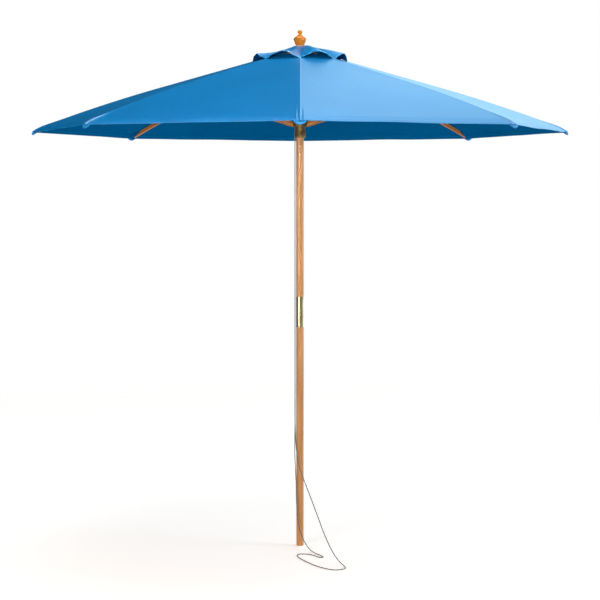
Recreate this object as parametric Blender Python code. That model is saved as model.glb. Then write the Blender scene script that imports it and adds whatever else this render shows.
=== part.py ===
"""Wooden market umbrella with eight ribs, a two-piece pole and a pulley lift.

Metres, +Z up. The origin is the centre of the pole's foot. Rib 1 points along -Y.
Radial outlines are written as (r, z): r is the distance from the pole's axis.
"""
import math

import bmesh
import bpy
from mathutils import Matrix, Vector

# Clearances
GAP = 0.0003
SLOT_PLAY = 0.0004
CUT_MARGIN = 0.01

# Pole
POLE_R = 0.019
POLE_SIDES = 32
POLE_TOP_Z = 2.5085
FOOT_CHAMFER = 0.0015
SPIGOT_R = 0.0175
JOINT_Z = 1.188
PIN_HOLE_R = 0.003
PIN_HOLE_HEIGHTS = (1.9755, 2.0155)

# Brass ferrule over the joint of the two poles
FERRULE_BOTTOM_Z = 1.112
FERRULE_TOP_Z = 1.265
FERRULE_R = 0.0192
FERRULE_BORE_R = SPIGOT_R + GAP

# Canopy ridge, the top of the fabric over a rib
RIB_COUNT = 8
SECTOR = 2 * math.pi / RIB_COUNT
HALF_SECTOR = SECTOR / 2
FIRST_RIB_ANGLE = -math.pi / 2
RIDGE_APEX_Z = 2.4995
RIDGE_SLOPE = 0.281
RIDGE_BEND_R = 0.70
RIDGE_BEND = 0.0784
CANOPY_TIP_R = 1.334
CANOPY_VENT_R = 0.125
CANOPY_THICKNESS = 0.0015
HEM_SCALLOP = 0.016
PANEL_EDGE_GAP = 0.0002
PANEL_RADIAL_STEPS = 8
PANEL_HALF_STEPS = 3

# Ribs
RIB_WIDTH = 0.012
RIB_HEIGHT = 0.020
RIB_END_HEIGHT = 0.015
RIB_TAPER_START_R = 1.05
RIB_END_R = 1.305
RIB_TOP_BELOW_FABRIC = 0.003
RIB_STATIONS = (0.10, 0.36, 0.62, 0.78, 0.90, 1.00, 1.10, 1.20)

# Linkage: hub pivot, pivot under the rib, pivot in the runner
PIVOT_R = 0.045
STRUT_PIVOT_ALONG_RIB = 0.5717
STRUT_PIVOT_BELOW_RIB = 0.022
STRUT_WIDTH = 0.010
STRUT_HEIGHT = 0.016
PIN_R = 0.002
PIN_SIDES = 10
HOLE_SIDES = 12
PIVOT_HOLE_R = 0.0023

# Rib bracket
BRACKET_THICKNESS = 0.0015
BRACKET_HALF_LENGTH = 0.025
BRACKET_TAB_R = 0.0065
BRACKET_TAB_HALF_LENGTH = 0.011
PIN_HEAD = 0.001

# Hub
HUB_R = 0.058
HUB_CORE_R = 0.0335
HUB_BOTTOM_Z = 2.444
HUB_TOP_Z = 2.508
HUB_TOP_R = 0.028
HUB_SHOULDER_Z = 2.4965
RING_SIDES = 48
WIRE_R = 0.0015
WIRE_GROOVE_HALF_WIDTH = 0.0018
WIRE_HOLE_R = 0.0025

# Runner
RUNNER_BORE_R = 0.0203
RUNNER_SLEEVE_R = 0.0268
RUNNER_FOOT_R = 0.0245
RUNNER_BOTTOM_Z = 2.057
RUNNER_COLLAR_R = 0.0292
RUNNER_COLLAR_BOTTOM_Z = 2.0635
RUNNER_COLLAR_TOP_Z = 2.0845
RUNNER_NECK_Z = 2.1125
RUNNER_FLANGE_R = 0.053
RUNNER_TOP_Z = 2.1394
RUNNER_CHAMFER = 0.003
RUNNER_CORE_R = 0.0345
RUNNER_GROOVE_INNER_R = 0.0423
RUNNER_GROOVE_OUTER_R = 0.0492
RUNNER_PIN_LENGTH = 0.022

# Pulley and cord
CORD_R = 0.00225
CORD_X = -0.025
SHEAVE_Z = 2.405
SHEAVE_TURN_R = 0.012
SHEAVE_R = 0.0135
SHEAVE_GROOVE_R = 0.0085
SHEAVE_HALF_WIDTH = 0.004
SHEAVE_GROOVE_HALF_WIDTH = 0.0028
SHEAVE_GROOVE_TAPER = 0.0002
SHEAVE_BORE_R = 0.0025
SHEAVE_AXLE_R = 0.0021
AXLE_HEAD_R = 0.0036
AXLE_HEAD_HEIGHT = 0.0016
AXLE_HEAD_CROWN = 0.0004
STRAP_THICKNESS = 0.0014
STRAP_HALF_WIDTH = 0.007
STRAP_ABOVE_CORD = 0.0012
STRAP_BELOW_AXLE = 0.010
CORD_GUIDE_R = 0.0033
CORD_FLOOR_Z = CORD_R + GAP
CORD_TOLERANCE = 0.001
CORD_LEAD = 0.01
CORD_END_GAP = 0.0006

# Vent cap and finial
CAP_THICKNESS = 0.0012
CAP_HOLE_R = 0.0105
CAP_SHOULDER_R = 0.030
CAP_TOP_Z = 2.5102
CAP_HEM_R = 0.236
CAP_HEM_Z = 2.4355
CAP_ARCH = 0.033
CAP_HEM_BULGE = 0.016
CAP_STEPS = 6
FINIAL_BASE_Z = 2.5106
FINIAL_STEM_R = 0.006
FINIAL_STEM_LENGTH = 0.030


# ---------------------------------------------------------------- helpers

def clear_scene():
    """Remove whatever the scene holds."""
    for obj in list(bpy.data.objects):
        bpy.data.objects.remove(obj, do_unlink=True)


def material(name, colour, roughness, metallic=0.0):
    """A Principled material of one colour."""
    made = bpy.data.materials.new(name)
    made.use_nodes = True
    shader = made.node_tree.nodes["Principled BSDF"]
    shader.inputs["Base Color"].default_value = (*colour, 1.0)
    shader.inputs["Roughness"].default_value = roughness
    shader.inputs["Metallic"].default_value = metallic
    made.diffuse_color = (*colour, 1.0)
    return made


def add_object(name, bm, finish, location=(0, 0, 0), turn=0.0, smooth=True):
    """Turn a bmesh into an object at a place, turned about the vertical."""
    bmesh.ops.recalc_face_normals(bm, faces=bm.faces)
    mesh = bpy.data.meshes.new(name)
    bm.to_mesh(mesh)
    bm.free()
    if smooth:
        mesh.shade_smooth()
        mesh.set_sharp_from_angle(angle=math.radians(35))
    mesh.materials.append(finish)
    obj = bpy.data.objects.new(name, mesh)
    obj.location = location
    obj.rotation_euler = (0, 0, turn)
    bpy.context.scene.collection.objects.link(obj)
    return obj


def turned(outline, sides, closed=False):
    """Spin an outline of (r, z) about the vertical axis; closed joins its last point to its first."""
    bm = bmesh.new()
    points = [bm.verts.new((r, 0, z)) for r, z in outline]
    edges = [bm.edges.new(pair) for pair in zip(points, points[1:])]
    if closed:
        edges.append(bm.edges.new((points[-1], points[0])))
    bmesh.ops.spin(
        bm,
        geom=points + edges,
        cent=(0, 0, 0),
        axis=(0, 0, 1),
        angle=2 * math.pi,
        steps=sides,
        use_merge=True,
    )
    bmesh.ops.remove_doubles(bm, verts=bm.verts, dist=1e-6)
    return bm


def plate(outline, width):
    """A flat plate in the X-Z plane, from an outline of (x, z), centred on Y = 0."""
    bm = bmesh.new()
    face = bm.faces.new([bm.verts.new((x, -width / 2, z)) for x, z in outline])
    made = bmesh.ops.extrude_face_region(bm, geom=[face])
    moved = [v for v in made["geom"] if isinstance(v, bmesh.types.BMVert)]
    bmesh.ops.translate(bm, verts=moved, vec=(0, width, 0))
    return bm


def rod(start, end, radius, sides):
    """A straight round bar between two points."""
    start, end = Vector(start), Vector(end)
    span = end - start
    place = Matrix.Translation((start + end) / 2) @ span.to_track_quat("Z", "Y").to_matrix().to_4x4()
    bm = bmesh.new()
    bmesh.ops.create_cone(
        bm,
        cap_ends=True,
        segments=sides,
        radius1=radius,
        radius2=radius,
        depth=span.length,
        matrix=place,
    )
    return bm


def block(low, high):
    """A box between two corners."""
    low, high = Vector(low), Vector(high)
    size = high - low
    place = Matrix.Translation((low + high) / 2) @ Matrix.Diagonal((*size, 1))
    bm = bmesh.new()
    bmesh.ops.create_cube(bm, size=1, matrix=place)
    return bm


def arc(centre, radius, start, end, steps):
    """Points on an arc of (x, z), with angles in degrees, both ends included."""
    angles = [math.radians(start + (end - start) * i / steps) for i in range(steps + 1)]
    return [(centre[0] + radius * math.cos(a), centre[1] + radius * math.sin(a)) for a in angles]


def cut(target, bm, location=(0, 0, 0), turn=0.0):
    """Take a shape away from an object, with a Boolean whose cutter is left out of renders."""
    number = len(target.modifiers) + 1
    name = f"cutter_{target.name}_{number}"
    cutter = add_object(name, bm, target.data.materials[0], location, turn, False)
    cutter.hide_render = True
    cutter.display_type = "WIRE"
    modifier = target.modifiers.new(f"cut_{number}", "BOOLEAN")
    modifier.operation = "DIFFERENCE"
    modifier.solver = "EXACT"
    modifier.object = cutter


def smooth_points(route, steps):
    """Points of a centripetal Catmull-Rom curve through a route of 3-D points."""
    route = [Vector(p) for p in route]
    ends = [2 * route[0] - route[1], *route, 2 * route[-1] - route[-2]]
    points = []
    for p0, p1, p2, p3 in zip(ends, ends[1:], ends[2:], ends[3:]):
        t1 = (p1 - p0).length ** 0.5
        t2 = t1 + (p2 - p1).length ** 0.5
        t3 = t2 + (p3 - p2).length ** 0.5
        for i in range(steps):
            t = t1 + (t2 - t1) * i / steps
            a1 = p0.lerp(p1, t / t1)
            a2 = p1.lerp(p2, (t - t1) / (t2 - t1))
            a3 = p2.lerp(p3, (t - t2) / (t3 - t2))
            b1 = a1.lerp(a2, t / t2)
            b2 = a2.lerp(a3, (t - t1) / (t3 - t1))
            points.append(b1.lerp(b2, (t - t1) / (t2 - t1)))
    points.append(route[-1])
    return points


def thin(points, tolerance):
    """Drop the points that a straight line between their neighbours passes within a tolerance."""
    start, span = points[0], points[-1] - points[0]
    along = span.normalized()
    away = [(p - start - (p - start).dot(along) * along).length for p in points]
    widest = max(away)
    if widest < tolerance:
        return [points[0], points[-1]]
    middle = away.index(widest)
    return thin(points[: middle + 1], tolerance)[:-1] + thin(points[middle:], tolerance)


# ---------------------------------------------------------------- shape rules

def ridge_z(r):
    """Height of the fabric's top over a rib."""
    return RIDGE_APEX_Z - RIDGE_SLOPE * r - RIDGE_BEND * max(0.0, r - RIDGE_BEND_R) ** 2


def ridge_slope(r):
    """Fall of the ridge per metre outwards."""
    return RIDGE_SLOPE + 2 * RIDGE_BEND * max(0.0, r - RIDGE_BEND_R)


RIB_ANGLE = math.atan(RIDGE_SLOPE)
RIB_CENTRE_DROP = RIB_TOP_BELOW_FABRIC + RIB_HEIGHT / 2 / math.cos(RIB_ANGLE)
HUB_PIVOT = Vector((PIVOT_R, 0, ridge_z(PIVOT_R) - RIB_CENTRE_DROP))
ALONG_RIB = Vector((math.cos(RIB_ANGLE), 0, -math.sin(RIB_ANGLE)))
ACROSS_RIB = Vector((math.sin(RIB_ANGLE), 0, math.cos(RIB_ANGLE)))
STRUT_PIVOT = HUB_PIVOT + STRUT_PIVOT_ALONG_RIB * ALONG_RIB - STRUT_PIVOT_BELOW_RIB * ACROSS_RIB
RUNNER_PIVOT = Vector((PIVOT_R, 0, 2 * STRUT_PIVOT.z - HUB_PIVOT.z))


def rib_turn(number):
    """Direction of a rib about the vertical."""
    return FIRST_RIB_ANGLE + (number - 1) * SECTOR


def around(point, number):
    """A point of the radial plane (x outward, z up), turned to a rib, in world coordinates."""
    return Matrix.Rotation(rib_turn(number), 3, "Z") @ Vector(point)


def cap_height(r, share):
    """Height of the vent cap's top; share runs from 0 on a rib line to 1 on the next."""
    if r <= CAP_SHOULDER_R:
        return CAP_TOP_Z
    out = (r - CAP_SHOULDER_R) / (CAP_HEM_R - CAP_SHOULDER_R)
    valley = CAP_TOP_Z + (CAP_HEM_Z - CAP_TOP_Z) * out
    return valley + CAP_ARCH * out**1.4 * math.sin(math.pi * share) ** 1.2


# ---------------------------------------------------------------- pole

def make_lower_pole(wood):
    """Lower half, with a turned-down spigot in the ferrule."""
    shoulder_z = FERRULE_BOTTOM_Z - GAP
    outline = [
        (0, JOINT_Z),
        (SPIGOT_R, JOINT_Z),
        (SPIGOT_R, shoulder_z),
        (POLE_R, shoulder_z),
        (POLE_R, FOOT_CHAMFER),
        (POLE_R - FOOT_CHAMFER, 0),
        (0, 0),
    ]
    add_object("lower_pole", turned(outline, POLE_SIDES), wood)


def make_upper_pole(wood):
    """Upper half, with its own spigot, two pin holes and a socket for the finial's stem."""
    shoulder_z = FERRULE_TOP_Z + GAP
    socket_z = FINIAL_BASE_Z - FINIAL_STEM_LENGTH - GAP
    socket_r = FINIAL_STEM_R + GAP
    outline = [
        (0, socket_z),
        (socket_r, socket_z),
        (socket_r, POLE_TOP_Z),
        (POLE_R, POLE_TOP_Z),
        (POLE_R, shoulder_z),
        (SPIGOT_R, shoulder_z),
        (SPIGOT_R, JOINT_Z + GAP),
        (0, JOINT_Z + GAP),
    ]
    pole = add_object("upper_pole", turned(outline, POLE_SIDES), wood)
    for z in PIN_HOLE_HEIGHTS:
        cut(pole, rod((0, -2 * POLE_R, z), (0, 2 * POLE_R, z), PIN_HOLE_R, HOLE_SIDES))


def make_ferrule(brass):
    """Polished brass tube, flush with the wood."""
    outline = [
        (FERRULE_BORE_R, FERRULE_TOP_Z),
        (FERRULE_R, FERRULE_TOP_Z),
        (FERRULE_R, FERRULE_BOTTOM_Z),
        (FERRULE_BORE_R, FERRULE_BOTTOM_Z),
    ]
    add_object("ferrule", turned(outline, POLE_SIDES, closed=True), brass)


def make_finial(varnished):
    """Turned knob with a ball on top and a stem below."""
    knob = [
        (0.0, 2.5900),
        (0.0066, 2.5882),
        (0.0110, 2.5838),
        (0.0122, 2.5785),
        (0.0104, 2.5728),
        (0.0080, 2.5688),
        (0.0100, 2.5652),
        (0.0160, 2.5602),
        (0.0232, 2.5553),
        (0.0290, 2.5498),
        (0.0318, 2.5448),
        (0.0318, 2.5418),
        (0.0292, 2.5368),
        (0.0278, 2.5305),
        (0.0248, 2.5225),
        (0.0212, 2.5165),
        (0.0205, FINIAL_BASE_Z),
    ]
    stem = [
        (FINIAL_STEM_R, FINIAL_BASE_Z),
        (FINIAL_STEM_R, FINIAL_BASE_Z - FINIAL_STEM_LENGTH),
        (0, FINIAL_BASE_Z - FINIAL_STEM_LENGTH),
    ]
    add_object("finial", turned(knob + stem, 24), varnished)


# ---------------------------------------------------------------- hub and runner

def make_hub(wood):
    """Slotted wooden disc on top of the pole, with a ring groove for the pivot wire."""
    bore_r = POLE_R + GAP
    outline = [
        (bore_r, HUB_TOP_Z),
        (HUB_TOP_R, HUB_TOP_Z),
        (HUB_R, HUB_SHOULDER_Z),
        (HUB_R, HUB_BOTTOM_Z),
        (bore_r, HUB_BOTTOM_Z),
    ]
    hub = add_object("hub", turned(outline, RING_SIDES, closed=True), wood)
    half = RIB_WIDTH / 2 + SLOT_PLAY
    for number in range(1, RIB_COUNT + 1):
        slot = block(
            (HUB_CORE_R, -half, HUB_BOTTOM_Z - CUT_MARGIN),
            (2 * HUB_R, half, HUB_TOP_Z + CUT_MARGIN),
        )
        cut(hub, slot, turn=rib_turn(number))
    inner, outer = PIVOT_R - WIRE_GROOVE_HALF_WIDTH, PIVOT_R + WIRE_GROOVE_HALF_WIDTH
    bottom, top = HUB_PIVOT.z - WIRE_GROOVE_HALF_WIDTH, HUB_TOP_Z + CUT_MARGIN
    groove = [(inner, top), (outer, top), (outer, bottom), (inner, bottom)]
    cut(hub, turned(groove, RING_SIDES, closed=True))


def make_hub_wire(steel):
    """Steel ring that all the ribs turn on."""
    bm = turned(arc((PIVOT_R, HUB_PIVOT.z), WIRE_R, 90, -225, 7), RING_SIDES, closed=True)
    add_object("hub_wire", bm, steel)


def make_runner(bronze):
    """Sliding collar with eight strut slots, a pin groove open below and two cord guides."""
    outline = [
        (RUNNER_BORE_R, RUNNER_TOP_Z),
        (RUNNER_FLANGE_R - RUNNER_CHAMFER, RUNNER_TOP_Z),
        (RUNNER_FLANGE_R, RUNNER_TOP_Z - RUNNER_CHAMFER),
        (RUNNER_FLANGE_R, RUNNER_NECK_Z + RUNNER_CHAMFER),
        (RUNNER_FLANGE_R - RUNNER_CHAMFER, RUNNER_NECK_Z),
        (RUNNER_SLEEVE_R, RUNNER_NECK_Z),
        (RUNNER_SLEEVE_R, RUNNER_COLLAR_TOP_Z + RUNNER_CHAMFER),
        (RUNNER_COLLAR_R, RUNNER_COLLAR_TOP_Z),
        (RUNNER_COLLAR_R, RUNNER_COLLAR_BOTTOM_Z),
        (RUNNER_FOOT_R, RUNNER_BOTTOM_Z),
        (RUNNER_BORE_R, RUNNER_BOTTOM_Z),
    ]
    runner = add_object("runner", turned(outline, RING_SIDES, closed=True), bronze)
    half = STRUT_WIDTH / 2 + SLOT_PLAY
    for number in range(1, RIB_COUNT + 1):
        slot = block(
            (RUNNER_CORE_R, -half, RUNNER_NECK_Z - CUT_MARGIN),
            (2 * RUNNER_FLANGE_R, half, RUNNER_TOP_Z + CUT_MARGIN),
        )
        cut(runner, slot, turn=rib_turn(number))
    groove_top = RUNNER_PIVOT.z + PIN_R + SLOT_PLAY
    groove = [
        (RUNNER_GROOVE_INNER_R, groove_top),
        (RUNNER_GROOVE_OUTER_R, groove_top),
        (RUNNER_GROOVE_OUTER_R, RUNNER_NECK_Z - CUT_MARGIN),
        (RUNNER_GROOVE_INNER_R, RUNNER_NECK_Z - CUT_MARGIN),
    ]
    cut(runner, turned(groove, RING_SIDES, closed=True))
    for y in (-SHEAVE_TURN_R, SHEAVE_TURN_R):
        bottom, top = RUNNER_BOTTOM_Z - CUT_MARGIN, RUNNER_TOP_Z + CUT_MARGIN
        cut(runner, rod((CORD_X, y, bottom), (CORD_X, y, top), CORD_GUIDE_R, HOLE_SIDES))


# ---------------------------------------------------------------- ribs and struts

def rib_outline():
    """Side of a rib about its hub pivot, following the canopy's ridge."""
    top, bottom = [], []
    for r in (*RIB_STATIONS, RIB_END_R):
        angle = math.atan(ridge_slope(r))
        taper = max(0.0, r - RIB_TAPER_START_R) / (RIB_END_R - RIB_TAPER_START_R)
        height = RIB_HEIGHT + (RIB_END_HEIGHT - RIB_HEIGHT) * taper
        x = r - PIVOT_R
        z = ridge_z(r) - RIB_TOP_BELOW_FABRIC - HUB_PIVOT.z
        top.append((x, z))
        bottom.append((x - height * math.sin(angle), z - height * math.cos(angle)))
    leaning = -math.degrees(RIB_ANGLE)
    inner_end = arc((0, 0), RIB_HEIGHT / 2, leaning + 270, leaning + 90, 6)
    return inner_end + top + bottom[::-1]


def make_rib(number, wood):
    """One straight-grained rib, with a hole for the hub's wire."""
    turn = rib_turn(number)
    place = around(HUB_PIVOT, number)
    rib = add_object(f"rib_{number}", plate(rib_outline(), RIB_WIDTH), wood, place, turn, False)
    hole = rod((0, -RIB_WIDTH, 0), (0, RIB_WIDTH, 0), WIRE_HOLE_R, HOLE_SIDES)
    cut(rib, hole, place, turn)


def make_rib_bracket(number, steel):
    """Folded steel bracket under the rib; the strut's end turns between its two tabs."""
    turn = rib_turn(number)
    place = around(STRUT_PIVOT, number)
    lean = Matrix.Rotation(RIB_ANGLE, 4, "Y")
    top = STRUT_PIVOT_BELOW_RIB - RIB_HEIGHT / 2 - GAP
    web = top - BRACKET_THICKNESS
    half = BRACKET_HALF_LENGTH
    tab = arc((0, 0), BRACKET_TAB_R, -180, 0, 6)
    shoulder = BRACKET_TAB_HALF_LENGTH
    plate_ends = [(half, top), (-half, top), (-half, web)]
    outline = plate_ends + [(-shoulder, web), *tab, (shoulder, web), (half, web)]
    half_width = STRUT_WIDTH / 2 + SLOT_PLAY
    bm = plate(outline, 2 * (half_width + BRACKET_THICKNESS))
    bmesh.ops.transform(bm, matrix=lean, verts=bm.verts)
    bracket = add_object(f"rib_bracket_{number}", bm, steel, place, turn, False)
    channel = block((-2 * half, -half_width, -3 * BRACKET_TAB_R), (2 * half, half_width, web))
    bmesh.ops.transform(channel, matrix=lean, verts=channel.verts)
    cut(bracket, channel, place, turn)
    hole = rod((0, -2 * STRUT_WIDTH, 0), (0, 2 * STRUT_WIDTH, 0), PIVOT_HOLE_R, HOLE_SIDES)
    cut(bracket, hole, place, turn)


def make_strut(number, wood):
    """One strut from the rib's bracket to the runner, round at both ends."""
    turn = rib_turn(number)
    place = around(STRUT_PIVOT, number)
    foot = RUNNER_PIVOT - STRUT_PIVOT
    lean = math.degrees(math.atan2(foot.z, foot.x))
    end_r = STRUT_HEIGHT / 2
    upper_end = arc((0, 0), end_r, lean + 270, lean + 90, 6)
    lower_end = arc((foot.x, foot.z), end_r, lean + 90, lean - 90, 6)
    outline = upper_end + lower_end
    strut = add_object(f"strut_{number}", plate(outline, STRUT_WIDTH), wood, place, turn, False)
    for x, z in ((0, 0), (foot.x, foot.z)):
        cut(strut, rod((x, -STRUT_WIDTH, z), (x, STRUT_WIDTH, z), PIVOT_HOLE_R, HOLE_SIDES), place, turn)


def make_pins(number, steel):
    """The pin in the rib's bracket and the pin in the strut's foot."""
    turn = rib_turn(number)
    half = STRUT_WIDTH / 2 + SLOT_PLAY + BRACKET_THICKNESS + PIN_HEAD
    bm = rod((0, -half, 0), (0, half, 0), PIN_R, PIN_SIDES)
    add_object(f"rib_pin_{number}", bm, steel, around(STRUT_PIVOT, number), turn)
    half = RUNNER_PIN_LENGTH / 2
    bm = rod((0, -half, 0), (0, half, 0), PIN_R, PIN_SIDES)
    add_object(f"strut_pin_{number}", bm, steel, around(RUNNER_PIVOT, number), turn)


# ---------------------------------------------------------------- pulley and cord

def make_pulley(steel, dark):
    """Grooved wheel on an axle in a bent strap, on the pole's left side under the hub."""
    rim, groove, bore = SHEAVE_R, SHEAVE_GROOVE_R, SHEAVE_BORE_R
    wide, narrow = SHEAVE_HALF_WIDTH, SHEAVE_GROOVE_HALF_WIDTH
    outline = [
        (bore, wide),
        (rim, wide),
        (rim, narrow),
        (groove, narrow - SHEAVE_GROOVE_TAPER),
        (groove, SHEAVE_GROOVE_TAPER - narrow),
        (rim, -narrow),
        (rim, -wide),
        (bore, -wide),
    ]
    bm = turned(outline, 24, closed=True)
    bmesh.ops.rotate(bm, verts=bm.verts, matrix=Matrix.Rotation(math.pi / 2, 3, "Y"))
    add_object("sheave", bm, dark, (CORD_X, 0, SHEAVE_Z))

    inner_x = CORD_X + wide + GAP
    outer_x = CORD_X - wide - GAP
    roof_z = SHEAVE_Z + SHEAVE_TURN_R + CORD_R + STRAP_ABOVE_CORD
    floor_z = SHEAVE_Z - STRAP_BELOW_AXLE
    strap_outline = [
        (outer_x - STRAP_THICKNESS, floor_z),
        (outer_x, floor_z),
        (outer_x, roof_z),
        (inner_x, roof_z),
        (inner_x, floor_z),
        (inner_x + STRAP_THICKNESS, floor_z),
        (inner_x + STRAP_THICKNESS, roof_z + STRAP_THICKNESS),
        (outer_x - STRAP_THICKNESS, roof_z + STRAP_THICKNESS),
    ]
    strap = add_object("pulley_bracket", plate(strap_outline, 2 * STRAP_HALF_WIDTH), steel, smooth=False)
    hole = rod((2 * CORD_X, 0, SHEAVE_Z), (0, 0, SHEAVE_Z), SHEAVE_AXLE_R + GAP, HOLE_SIDES)
    cut(strap, hole)

    axle_end_x = inner_x + STRAP_THICKNESS - GAP
    head_x = outer_x - STRAP_THICKNESS - GAP
    axle_outline = [
        (0, axle_end_x),
        (SHEAVE_AXLE_R, axle_end_x),
        (SHEAVE_AXLE_R, head_x),
        (AXLE_HEAD_R, head_x),
        (AXLE_HEAD_R, head_x - AXLE_HEAD_HEIGHT + AXLE_HEAD_CROWN),
        (0, head_x - AXLE_HEAD_HEIGHT),
    ]
    bm = turned(axle_outline, PIN_SIDES)
    bmesh.ops.rotate(bm, verts=bm.verts, matrix=Matrix.Rotation(math.pi / 2, 3, "Y"))
    add_object("sheave_axle", bm, steel, (0, 0, SHEAVE_Z))


def cord_route():
    """Route of the pull cord: over the sheave, down the pole, one loose loop on the ground and back up."""
    turn, top = SHEAVE_TURN_R, SHEAVE_Z
    wheel = [(math.sin(a), math.cos(a)) for a in (math.radians(20 * i) for i in range(1, 5))]
    over_front = [(CORD_X, -turn * s, top + turn * c) for s, c in wheel]
    over_back = [(CORD_X, turn * s, top + turn * c) for s, c in reversed(wheel)]
    ground = CORD_FLOOR_Z
    return [
        (CORD_X, -CORD_END_GAP, top + turn),
        *over_front,
        (CORD_X, -turn, top - CORD_LEAD),
        (CORD_X, -turn, 1.60),
        (CORD_X, -turn, 0.85),
        (-0.0245, -0.014, 0.62),
        (-0.0175, -0.024, 0.49),
        (-0.0055, -0.045, 0.420),
        (0.020, -0.080, 0.350),
        (0.052, -0.130, 0.2735),
        (0.087, -0.200, 0.192),
        (0.121, -0.280, 0.115),
        (0.158, -0.360, 0.051),
        (0.192, -0.420, 0.015),
        (0.215, -0.462, ground),
        (0.211, -0.500, ground),
        (0.165, -0.520, ground),
        (0.098, -0.469, ground),
        (0.026, -0.348, ground),
        (-0.012, -0.245, ground),
        (-0.006, -0.205, ground),
        (0.034, -0.202, ground),
        (0.074, -0.236, ground),
        (0.098, -0.272, ground),
        (0.113, -0.268, ground),
        (0.107, -0.240, ground),
        (0.078, -0.190, ground),
        (0.045, -0.125, 0.012),
        (0.013, -0.070, 0.055),
        (-0.0055, -0.044, 0.1127),
        (-0.0160, -0.030, 0.198),
        (-0.0200, -0.021, 0.324),
        (-0.0262, -0.004, 0.47),
        (CORD_X, turn, 0.66),
        (CORD_X, turn, 0.85),
        (CORD_X, turn, 1.60),
        (CORD_X, turn, top - CORD_LEAD),
        *over_back,
        (CORD_X, CORD_END_GAP, top + turn),
    ]


def make_cord(braid):
    """The pull cord, a closed loop that meets itself on top of the sheave."""
    curve = bpy.data.curves.new("pull_cord", "CURVE")
    curve.dimensions = "3D"
    curve.bevel_depth = CORD_R
    curve.bevel_resolution = 2
    curve.use_fill_caps = True
    points = smooth_points(cord_route(), 12)
    for point in points:
        point.z = max(point.z, CORD_FLOOR_Z)
    points = thin(points, CORD_TOLERANCE)
    spline = curve.splines.new("POLY")
    spline.points.add(len(points) - 1)
    for slot, point in zip(spline.points, points):
        slot.co = (*point, 1.0)
    curve.materials.append(braid)
    obj = bpy.data.objects.new("pull_cord", curve)
    bpy.context.scene.collection.objects.link(obj)


# ---------------------------------------------------------------- fabric

def make_sheet(name, rows, thickness, fabric, location, turn=0.0, wrap=False):
    """A thin closed sheet hanging under rows of points; wrap joins each row's last point to its first."""
    bm = bmesh.new()
    grid = [[bm.verts.new(point) for point in row] for row in rows]
    for low, high in zip(grid, grid[1:]):
        pairs = list(zip(low, high))
        if wrap:
            pairs.append(pairs[0])
        for (a, b), (c, d) in zip(pairs, pairs[1:]):
            bm.faces.new((a, b, d, c))
    bmesh.ops.recalc_face_normals(bm, faces=bm.faces)
    if sum(face.normal.z for face in bm.faces) < 0:
        bmesh.ops.reverse_faces(bm, faces=bm.faces)
    mesh = bpy.data.meshes.new(name)
    bm.to_mesh(mesh)
    bm.free()
    mesh.shade_smooth()
    mesh.set_sharp_from_angle(angle=math.radians(35))
    mesh.materials.append(fabric)
    sheet = bpy.data.objects.new(name, mesh)
    sheet.location = location
    sheet.rotation_euler = (0, 0, turn)
    bpy.context.scene.collection.objects.link(sheet)
    shell = sheet.modifiers.new("thickness", "SOLIDIFY")
    shell.thickness = thickness
    shell.offset = -1
    shell.use_even_offset = True
    return sheet


def panel_point(rib_r, angle):
    """A point of the canopy between two ribs, at an angle from the nearest rib, about the hub pivot."""
    r = rib_r * math.cos(HALF_SECTOR) / math.cos(HALF_SECTOR - abs(angle))
    side = r * math.sin(angle)
    if abs(angle) > HALF_SECTOR - 1e-6:
        side -= math.copysign(PANEL_EDGE_GAP, angle)
    return (r * math.cos(angle) - PIVOT_R, side, ridge_z(rib_r) - HUB_PIVOT.z)


def make_canopy_panel(number, fabric):
    """The fabric that one rib carries, from the vent to the hem and half way to each next rib."""
    angles = [HALF_SECTOR * i / PANEL_HALF_STEPS for i in range(-PANEL_HALF_STEPS, PANEL_HALF_STEPS + 1)]
    rows = []
    for step in range(PANEL_RADIAL_STEPS + 1):
        row = []
        for angle in angles:
            away = abs(angle) / HALF_SECTOR
            hem = CANOPY_TIP_R - HEM_SCALLOP * away * (2 - away)
            rib_r = CANOPY_VENT_R + (hem - CANOPY_VENT_R) * step / PANEL_RADIAL_STEPS
            row.append(panel_point(rib_r, angle))
        rows.append(row)
    place = around(HUB_PIVOT, number)
    make_sheet(f"canopy_panel_{number}", rows, CANOPY_THICKNESS, fabric, place, rib_turn(number))


def make_vent_cap(fabric):
    """The small upper canopy, which arches up between the ribs to let wind out."""
    radii = [CAP_HOLE_R, CAP_SHOULDER_R, 0.065, 0.110, 0.170, CAP_HEM_R]
    rows = []
    for radius in radii:
        row = []
        for i in range(RIB_COUNT * CAP_STEPS):
            share = (i % CAP_STEPS) / CAP_STEPS
            angle = FIRST_RIB_ANGLE + SECTOR * i / CAP_STEPS
            chord = math.cos(HALF_SECTOR) / math.cos(HALF_SECTOR - share * SECTOR)
            flat = max(0.0, (radius - CAP_SHOULDER_R) / (CAP_HEM_R - CAP_SHOULDER_R))
            r = radius * (1 + (chord - 1) * min(1.0, 2 * flat))
            r += CAP_HEM_BULGE * flat**2 * math.sin(math.pi * share)
            row.append((r * math.cos(angle), r * math.sin(angle), cap_height(radius, share)))
        rows.append(row)
    make_sheet("vent_cap", rows, CAP_THICKNESS, fabric, (0, 0, 0), wrap=True)


# ---------------------------------------------------------------- assembly

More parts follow.
